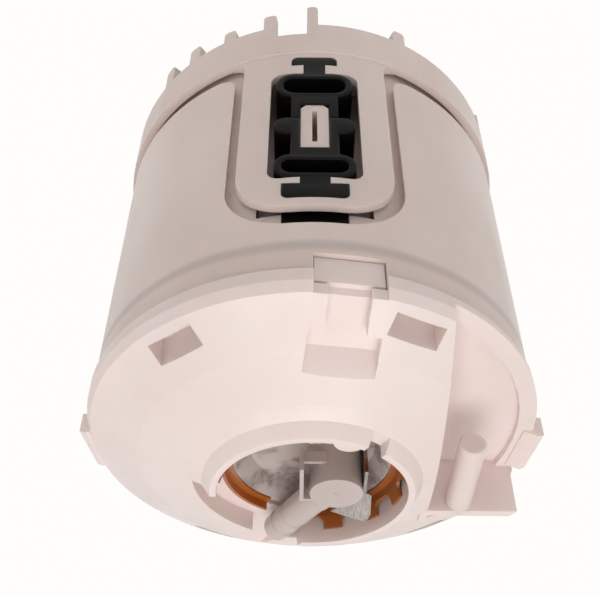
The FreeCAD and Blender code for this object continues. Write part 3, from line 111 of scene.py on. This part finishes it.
def moulding_group():
    """Cloudy plastic: a colour that drifts slowly, fine grain in the height and an uneven sheen."""
    cloud_waves = 26.0
    flow_waves = 70.0
    flow_stretch = (1.0, 1.0, 0.25)
    grain_waves = 1900.0
    group = new_group("cloudy plastic",
                      [("Vector", "Vector", None), ("Light", "Color", (0.9, 0.9, 0.9, 1)),
                       ("Dark", "Color", (0.8, 0.8, 0.8, 1)), ("Sheen", "Float", 0.35)],
                      [("Color", "Color"), ("Roughness", "Float"), ("Height", "Float")])
    inner = group.nodes.new("NodeGroupInput").outputs
    outer = group.nodes.new("NodeGroupOutput").inputs
    clouds = noise(group, inner["Vector"], cloud_waves, 2.0)
    streaks = node(group, "Mapping", {"Vector": inner["Vector"], "Scale": flow_stretch}).outputs[0]
    flow = noise(group, streaks, flow_waves, 4.0)
    drift = ramp(group, weighted(group, clouds, 0.7, flow), 0.35, 0.65)
    group.links.new(mix_colour(group, drift, inner["Light"], inner["Dark"]), outer["Color"])
    sheen = math_node(group, "ADD", inner["Sheen"], ramp(group, flow, 0.3, 0.7, -0.05, 0.06))
    group.links.new(sheen, outer["Roughness"])
    grain = noise(group, inner["Vector"], grain_waves, 2.0)
    group.links.new(weighted(group, grain, 0.3, flow), outer["Height"])
    return group


cloudy = moulding_group()


def moulded(name, light, dark, sheen, depth=0.0, bump=0.08):
    """A plastic in the cloudy group's colours, with light sinking in by a share of depth."""
    bump_height = 0.0004
    light_reach = (0.004, 0.003, 0.0025)
    made, tree, shader, place = material(name)
    group = node(tree, "Group", node_tree=cloudy)
    tree.links.new(place, group.inputs["Vector"])
    group.inputs["Light"].default_value = (*light, 1)
    group.inputs["Dark"].default_value = (*dark, 1)
    group.inputs["Sheen"].default_value = sheen
    tree.links.new(group.outputs["Color"], shader.inputs["Base Color"])
    tree.links.new(group.outputs["Roughness"], shader.inputs["Roughness"])
    raised = node(tree, "Bump",
                  {"Height": group.outputs["Height"], "Strength": bump, "Distance": bump_height})
    tree.links.new(raised.outputs[0], shader.inputs["Normal"])
    shader.inputs["Subsurface Weight"].default_value = depth
    shader.inputs["Subsurface Radius"].default_value = light_reach
    shader.inputs["Subsurface Scale"].default_value = 1.0
    return made


ring_white = moulded("ring moulding", (0.80, 0.70, 0.66), (0.75, 0.645, 0.605), 0.40, 0.22)
paint(ring_white, "mount_ring")

# Rubber mounts: black rubber mouldings, each with two hollow loops, a hub
# round the pot's stud and a headed key at either end, keyed into a tongue of
# the ring. Each is built as a low and a high half.
mount_near = 0.0452
mount_far = 0.0574
flange_far = 0.0538
edge_round = 0.00045
mm_per_metre = 1000.0


def corner_arc(x, z, radius, first, last):
    """Points round a corner: its centre plus radius times (cos, sin) of nine angles, evenly spread."""
    angle = np.radians(np.linspace(first, last, 9))
    return np.stack([x + radius * np.cos(angle), z + radius * np.sin(angle)], axis=1)


def both_sides(*runs):
    """Closes a half outline in mm: its points, then the same points with x negated, backwards."""
    right_side = np.concatenate([np.atleast_2d(np.asarray(run, dtype=float)) for run in runs])
    return np.concatenate([right_side, (right_side * (-1.0, 1.0))[::-1]]) / mm_per_metre


def round_window(half, low, high, radius):
    """A rounded rectangle about the middle line: four quarter circles joined by straight runs."""
    return both_sides(corner_arc(half - radius, low + radius, radius, -90, 0),
                      corner_arc(half - radius, high - radius, radius, 0, 90))


def slab(loops, near, far):
    """A slab between two depths: the flat area inside the loops, thickened both ways, with its rims
    rounded by quarter circles of edge_round."""
    curve = bpy.data.curves.new("slab", "CURVE")
    curve.dimensions = "2D"
    curve.fill_mode = "BOTH"
    curve.extrude = (far - near) / 2 - edge_round
    curve.bevel_depth = edge_round
    curve.bevel_resolution = 3
    curve.offset = -edge_round
    for loop in loops:
        line = curve.splines.new("POLY")
        line.points.add(len(loop) - 1)
        flat = np.column_stack([loop, np.zeros(len(loop)), np.ones(len(loop))])
        line.points.foreach_set("co", flat.ravel())
        line.use_cyclic_u = True
    carrier = bpy.data.objects.new("slab", curve)
    mesh = bpy.data.meshes.new_from_object(carrier)
    mesh.transform(Matrix(((1, 0, 0, 0), (0, 0, -1, -(near + far) / 2), (0, 1, 0, 0), (0, 0, 0, 1))))
    bpy.data.objects.remove(carrier)
    bpy.data.curves.remove(curve)
    return mesh


def mould_dot(x, z):
    """A flat dome on the front face: rings of radius times u, raised by rise times (1 - u squared)."""
    radius = 0.00042
    rise = 0.00014
    sink = 0.00003
    rings = 5
    sides = 12
    around = np.linspace(0, 2 * np.pi, sides, endpoint=False)
    u, turn = np.meshgrid(np.linspace(0.1, 1.0, rings), around, indexing="ij")
    spots = np.stack([x + radius * u * np.cos(turn), -mount_far - rise * (1 - u ** 2) + sink,
                      z + radius * u * np.sin(turn)], axis=-1).reshape(-1, 3)
    ring, step = np.meshgrid(np.arange(rings - 1), np.arange(sides), indexing="ij")
    near = ring * sides + step
    along = ring * sides + (step + 1) % sides
    quads = np.stack([near, along, along + sides, near + sides], axis=-1).reshape(-1, 4)
    mesh = bpy.data.meshes.new("dot")
    mesh.from_pydata(spots.tolist(), [], quads.tolist() + [list(range(sides - 1, -1, -1))])
    return mesh


low_half = [both_sides([(0.0, 26.55)], corner_arc(4.35, 28.45, 1.9, -90, 0), [(6.25, 30.65), (2.95, 30.65)],
                       [(2.95, 34.6)], corner_arc(4.9, 40.0, 5.4, -90, 0), corner_arc(4.9, 40.2, 5.4, 0, 74),
                       [(6.2, 46.2), (6.2, 54.8), (3.65, 54.8), (3.65, 48.95)]),
            round_window(8.3, 36.6, 43.6, 3.2)]
high_half = [both_sides([(3.65, 67.05), (3.65, 54.8)], corner_arc(7.3, 58.0, 3.2, -90, 0),
                        corner_arc(7.3, 58.2, 3.2, 0, 90), [(6.2, 61.4), (6.2, 69.6)],
                        corner_arc(5.7, 74.3, 4.5, -80, 0), corner_arc(5.7, 74.5, 4.5, 0, 90),
                        [(3.65, 79.0), (3.65, 81.05), (8.15, 81.05)], corner_arc(6.25, 84.55, 1.9, 0, 90)),
             round_window(8.2, 71.8, 77.0, 2.4)]
flange = [both_sides([(7.7, 83.0)], corner_arc(6.9, 92.2, 0.8, 0, 90))]
rubber = moulded("rubber", (0.0022, 0.0019, 0.0018), (0.0045, 0.0036, 0.0034), 0.30, bump=0.10)
rubber.node_tree.nodes["Principled BSDF"].inputs["Specular IOR Level"].default_value = 0.10
low_dots = ((0, 0.0318), (0, 0.0463))
high_dots = ((0, 0.0826), (0.0050, 0.0562), (-0.0050, 0.0562), (0.0050, 0.0620), (-0.0050, 0.0620))
low_bend = (0.036, 0.048)
high_bend = (0.0685, 0.0800)
weld_reach = 1e-6
crease = math.radians(35)
for mount_name, mount_turn in (("front", 0), ("right", 120), ("left", 240)):
    for half_name, meshes, bodies, heights in (
            ("low", [slab(low_half, mount_near, mount_far)] + [mould_dot(*spot) for spot in low_dots],
             ("ring", "reservoir"), low_bend),
            ("high", [slab(high_half, mount_near, mount_far), slab(flange, mount_near, flange_far)]
             + [mould_dot(*spot) for spot in high_dots],
             ("reservoir", "ring"), high_bend)):
        form = bmesh.new()
        for mesh in meshes:
            form.from_mesh(mesh)
            bpy.data.meshes.remove(mesh)
        bmesh.ops.remove_doubles(form, verts=form.verts, dist=weld_reach)
        turned = Matrix.Rotation(math.radians(mount_turn), 3, "Z")
        bmesh.ops.rotate(form, verts=form.verts, matrix=turned)
        bmesh.ops.recalc_face_normals(form, faces=form.faces)
        finished = bpy.data.meshes.new("mount_" + mount_name + "_" + half_name)
        form.to_mesh(finished)
        form.free()
        finished.shade_smooth()
        finished.set_sharp_from_angle(angle=crease)
        piece = bpy.data.objects.new(finished.name, finished)
        bpy.context.scene.collection.objects.link(piece)
        paint(rubber, piece)
        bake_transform(piece)
        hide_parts("isolator_" + mount_name)

# Swirl pot: a thin white tub that hangs in the mounts. A soft grey line of painted
# shade runs round its wall, with a darker band of painted shade above it, where the cap's skirt
# inside would shade the wall; a fine line runs round it where the mould's halves met.
pot_white = moulded("pot moulding", (0.80, 0.70, 0.66), (0.75, 0.645, 0.605), 0.40, 0.22)
# Painted shade colour for the soft line round the wall; it also colours the mould line.
painted_shade_and_seam_colour = (0.50, 0.43, 0.42, 1)
# Painted shade colour for the band above the line.
painted_band_shade = (0.72, 0.615, 0.565, 1)


def ridge(tree, value, low_foot, low_top, high_top, high_foot):
    """1 between low_top and high_top, with a smooth step to 0 at low_foot and another at high_foot."""
    rise = ramp(tree, value, low_foot, low_top)
    fall = ramp(tree, value, high_top, high_foot, 1.0, 0.0)
    return math_node(tree, "MULTIPLY", rise, fall)


def painted_wall_shade_and_seam():
    """Masks on the pot's outer wall, from height and radius: a soft painted shade line, a painted shade band
    over it and the mould line.
    """
    outer_radius = (0.0558, 0.0564)
    wander_waves = 30.0
    wander_height = 0.0003
    # Heights of the painted shade line and of the foot of the painted shade band.
    painted_shade_line = (0.0992, 0.1014, 0.1020, 0.1042)
    painted_band_foot = (0.1014, 0.1030)
    mould_line = (0.0608, 0.0610, 0.0610, 0.0612)
    group = new_group("painted wall shade and seam", [("Vector", "Vector", None)],
                      [("Line", "Float"), ("Shade Band", "Float"), ("Seam", "Float")])
    inner = group.nodes.new("NodeGroupInput").outputs
    outer = group.nodes.new("NodeGroupOutput").inputs
    x, y, z = node(group, "SeparateXYZ", {0: inner["Vector"]}).outputs
    across = math_node(group, "ADD", math_node(group, "MULTIPLY", x, x), math_node(group, "MULTIPLY", y, y))
    outside = ramp(group, math_node(group, "SQRT", across), *outer_radius)
    drift = noise(group, inner["Vector"], wander_waves, 1.0)
    wander = math_node(group, "ADD", z, ramp(group, drift, 0.3, 0.7, -wander_height, wander_height))
    masks = {"Line": ridge(group, wander, *painted_shade_line), "Shade Band": ramp(group, wander, *painted_band_foot),
             "Seam": ridge(group, z, *mould_line)}
    for mask_name, mask in masks.items():
        group.links.new(math_node(group, "MULTIPLY", mask, outside), outer[mask_name])
    return group


pot_tree = pot_white.node_tree
pot_shader = pot_tree.nodes["Principled BSDF"]
lines = node(pot_tree, "Group", node_tree=painted_wall_shade_and_seam())
pot_tree.links.new(pot_tree.nodes["Texture Coordinate"].outputs["Object"], lines.inputs["Vector"])
# Mixes the painted shade band, the painted shade line and the mould line into the pot's colour.
marked = pot_shader.inputs["Base Color"].links[0].from_socket
for mask_name, strength, shade in (("Shade Band", 0.7, painted_band_shade), ("Line", 0.62, painted_shade_and_seam_colour),
                                   ("Seam", 0.25, painted_shade_and_seam_colour)):
    share = math_node(pot_tree, "MULTIPLY", lines.outputs[mask_name], strength)
    marked = mix_colour(pot_tree, share, marked, shade)
pot_tree.links.new(marked, pot_shader.inputs["Base Color"])
paint(pot_white, "reservoir_pot")

# Cap: a thin pinkish white dome over the pot, lit from above, with the
# collar, the locks and the lowered side. It is painted as the brightest moulding: its colours are lighter
# than the pot's, a painted highlight for the light from above.
painted_lit_cap_white = moulded("cap moulding painted lighter", (0.87, 0.765, 0.735), (0.83, 0.72, 0.685), 0.38, 0.30)
paint(painted_lit_cap_white, "reservoir_cap")

# Return stub, its pipe and the jet nozzle: plain white tube and a grey
# moulding that carry returned fuel from the cap down to the pot's floor.
tube_white = moulded("tube moulding", (0.84, 0.73, 0.69), (0.79, 0.68, 0.64), 0.36, 0.25)
paint(tube_white, "return_stub", "return_pipe")
inner_grey = moulded("inner grey moulding", (0.58, 0.52, 0.48), (0.50, 0.43, 0.40), 0.42, 0.1)
paint(inner_grey, "jet_nozzle")

# Retaining ring: amber plastic with spring fingers. Two amber tones drift into
# each other under a thin clear gloss, and light sinks in a little.
amber = moulded("amber moulding", (0.42, 0.125, 0.016), (0.27, 0.062, 0.005), 0.24, 0.18, 0.05)
amber_shader = amber.node_tree.nodes["Principled BSDF"]
amber_shader.inputs["Coat Weight"].default_value = 0.35
amber_shader.inputs["Coat Roughness"].default_value = 0.15
paint(amber, "pump_retainer")

# Pump's end cover: a grey die moulding with a dished face, stained in soft
# dark patches where fuel has stood on it. The relief valve's plug and the
# check valve's cage and poppet are the same plastic.
cover_grey = moulded("cover moulding", (0.58, 0.51, 0.49), (0.48, 0.415, 0.39), 0.34, 0.08)


def stains():
    """A mask of soft patches: broad noise above a level, broken up by finer noise."""
    group = new_group("stains", [("Vector", "Vector", None)], [("Mask", "Float")])
    inner = group.nodes.new("NodeGroupInput").outputs
    outer = group.nodes.new("NodeGroupOutput").inputs
    patch_waves = 120.0
    speck_waves = 600.0
    broad = ramp(group, noise(group, inner["Vector"], patch_waves, 2.0), 0.48, 0.64)
    fine = ramp(group, noise(group, inner["Vector"], speck_waves, 4.0, 0.7), 0.35, 0.7, 0.35, 1.0)
    group.links.new(math_node(group, "MULTIPLY", broad, fine), outer["Mask"])
    return group


cover_tree = cover_grey.node_tree
cover_shader = cover_tree.nodes["Principled BSDF"]
stain = node(cover_tree, "Group", node_tree=stains())
cover_tree.links.new(cover_tree.nodes["Texture Coordinate"].outputs["Object"], stain.inputs["Vector"])
clean_face = cover_shader.inputs["Base Color"].links[0].from_socket
stain_share = math_node(cover_tree, "MULTIPLY", stain.outputs["Mask"], 0.75)
stained_face = mix_colour(cover_tree, stain_share, clean_face, (0.12, 0.10, 0.09, 1))
cover_tree.links.new(stained_face, cover_shader.inputs["Base Color"])
paint(cover_grey, "pump_end_cover", "relief_plug", "check_valve_cage", "check_valve_poppet")

# Outlet elbow: a capped cylinder with the barbed hose nipple across it, in a
# smooth pinkish grey plastic.
elbow_grey = moulded("elbow moulding", (0.60, 0.52, 0.50), (0.54, 0.465, 0.44), 0.36, 0.12, 0.05)
paint(elbow_grey, "outlet_elbow")

# Steel clip and the pump's steel: bright pressed sheet with fine scratches
# drawn along it. The can, shaft, springs and ball are steel as well.


def metal(name, light, dark, rough):
    """A bare metal with fine scratches: light and dark are its two tones."""
    scratch_stretch = (8.0, 1.0, 1.0)
    scratch_waves = 300.0
    tone_waves = 60.0
    scratch_depth = 0.0001
    made, tree, shader, place = material(name)
    stretched = node(tree, "Mapping", {"Vector": place, "Scale": scratch_stretch})
    fine = noise(tree, stretched.outputs[0], scratch_waves, 4.0)
    broad = noise(tree, place, tone_waves, 2.0)
    share = ramp(tree, weighted(tree, fine, 0.6, broad), 0.35, 0.65)
    tree.links.new(mix_colour(tree, share, (*light, 1), (*dark, 1)), shader.inputs["Base Color"])
    tree.links.new(ramp(tree, fine, 0.3, 0.7, rough - 0.08, rough + 0.1), shader.inputs["Roughness"])
    raised = node(tree, "Bump", {"Height": fine, "Strength": 0.1, "Distance": scratch_depth})
    tree.links.new(raised.outputs[0], shader.inputs["Normal"])
    shader.inputs["Metallic"].default_value = 1.0
    return made


clip_steel = metal("clip steel", (0.50, 0.45, 0.42), (0.30, 0.265, 0.245), 0.26)
paint(clip_steel, "elbow_clip")
steel = metal("steel", (0.62, 0.58, 0.54), (0.40, 0.36, 0.33), 0.3)
paint(steel, "pump_can", "motor_shaft", "brush_spring_front", "brush_spring_back", "check_valve_spring",
      "relief_ball", "relief_spring")

# Motor inside the can: iron core and magnets, copper winding heads and
# commutator, carbon brushes and brass bearings. The brass terminals rise
# from it beside the outlet.
iron = metal("iron", (0.30, 0.29, 0.28), (0.2, 0.19, 0.18), 0.5)
paint(iron, "armature_core", "magnet_front", "magnet_back")
copper = metal("copper", (0.75, 0.38, 0.22), (0.55, 0.25, 0.14), 0.35)
paint(copper, "winding_head_low", "winding_head_high", "commutator")
brass = metal("brass", (0.75, 0.62, 0.34), (0.6, 0.48, 0.25), 0.3)
paint(brass, "terminal_plus", "terminal_minus", "lower_bearing", "upper_bearing")
carbon = moulded("carbon", (0.04, 0.04, 0.04), (0.025, 0.025, 0.025), 0.6)
paint(carbon, "brush_front", "brush_back")

# Pump chamber: die cast plates round a dark moulded impeller.
die_cast = metal("die cast", (0.62, 0.62, 0.62), (0.5, 0.5, 0.5), 0.45)
paint(die_cast, "inlet_cover", "chamber_plate")
impeller_dark = moulded("impeller moulding", (0.05, 0.05, 0.05), (0.03, 0.03, 0.03), 0.4)
paint(impeller_dark, "impeller")

# Inlet: a strainer disc on the floor of the pot, with the rubber sleeve that
# seals the pump into it and the rubber flap over the pot's inlet.
paint(inner_grey, "strainer")
soft_black = moulded("soft rubber", (0.02, 0.018, 0.017), (0.03, 0.027, 0.025), 0.45)
paint(soft_black, "inlet_flap", "inlet_sleeve")

# Floor and backdrop: a wide pale floor and a world that read as white to the
# camera, and to the shine of metal and rubber, while they light it plainly.


def shown_rays(tree):
    """1 for the rays that show the backdrop: the greatest of the camera, glossy and transmission masks."""
    rays = tree.nodes.new("ShaderNodeLightPath").outputs
    shine = math_node(tree, "MAXIMUM", rays["Is Glossy Ray"], rays["Is Transmission Ray"])
    return math_node(tree, "MAXIMUM", rays["Is Camera Ray"], shine)


floor_size = 3.0
floor_drop = 0.0005
floor_mesh = bpy.data.meshes.new("floor")
floor_corners = [(-floor_size, -floor_size, 0), (floor_size, -floor_size, 0), (floor_size, floor_size, 0),
                 (-floor_size, floor_size, 0)]
floor_mesh.from_pydata(floor_corners, [], [(0, 1, 2, 3)])
floor = bpy.data.objects.new("floor", floor_mesh)
bpy.context.scene.collection.objects.link(floor)
floor.location.z = -floor_drop
pale, tree, shader, _ = material("pale floor")
shader.inputs["Base Color"].default_value = (0.9, 0.87, 0.85, 1)
shader.inputs["Roughness"].default_value = 0.8
warm_white = (1.0, 0.985, 0.965, 1)
glow = node(tree, "Emission", {"Color": warm_white, "Strength": 1.0})
both = node(tree, "MixShader", {0: shown_rays(tree), 1: shader.outputs[0], 2: glow.outputs[0]})
tree.links.new(both.outputs[0], tree.nodes["Material Output"].inputs["Surface"])
paint(pale, floor)

fill_level = 0.27
world = bpy.data.worlds.new("studio")
bpy.context.scene.world = world
world.use_nodes = True
tree = world.node_tree
studio_light = tree.nodes["Background"]
studio_light.inputs[0].default_value = (1.0, 0.96, 0.94, 1)
studio_light.inputs[1].default_value = fill_level
backdrop = node(tree, "Background", {"Color": warm_white, "Strength": 1.0})
both = node(tree, "MixShader", {0: shown_rays(tree), 1: studio_light.outputs[0], 2: backdrop.outputs[0]})
tree.links.new(both.outputs[0], tree.nodes["World Output"].inputs["Surface"])


def lamp(name, place, aim, size, power, colour):
    """A square area light at place that looks at aim."""
    data = bpy.data.lights.new(name, "AREA")
    data.size = size
    data.energy = power
    data.color = colour
    made = bpy.data.objects.new(name, data)
    bpy.context.scene.collection.objects.link(made)
    made.location = place
    made.rotation_euler = (Vector(aim) - Vector(place)).to_track_quat("-Z", "Y").to_euler()


lamp("top light", (0.0, -0.12, 0.75), (0, 0, 0.1), 0.6, 3.3, (1.0, 0.95, 0.93))
lamp("left light", (-0.50, -0.22, 0.30), (0, 0, 0.06), 0.4, 0.45, (1.0, 0.97, 0.95))
lamp("right light", (0.50, -0.22, 0.30), (0, 0, 0.06), 0.4, 0.45, (1.0, 0.97, 0.95))

# Camera: fitted to the photo, which is taken with the module's outlet end
# nearest and the picture upside down.
tilt = math.radians(47.1)
roll = math.radians(0.5)
focal_px = 884.0
picture_px = 600.0
sensor_mm = 36.0
camera_place = Vector((0.0034, -0.1929, 0.2443))
bpy.context.scene.view_settings.view_transform = "Standard"
camera_data = bpy.data.cameras.new("camera")
camera_data.sensor_width = sensor_mm
camera_data.lens = sensor_mm * focal_px / picture_px
camera_data.clip_start = 0.01
camera = bpy.data.objects.new("camera", camera_data)
bpy.context.scene.collection.objects.link(camera)
bpy.context.scene.camera = camera
forward = Vector((0, math.sin(tilt), -math.cos(tilt)))
up = Vector((0, -math.cos(tilt), -math.sin(tilt)))
right = Vector((-1, 0, 0))
turned_right = right * math.cos(roll) + up * math.sin(roll)
turned_up = up * math.cos(roll) - right * math.sin(roll)
basis = Matrix((turned_right, turned_up, -forward)).transposed()
camera.matrix_world = Matrix.Translation(camera_place) @ basis.to_4x4()
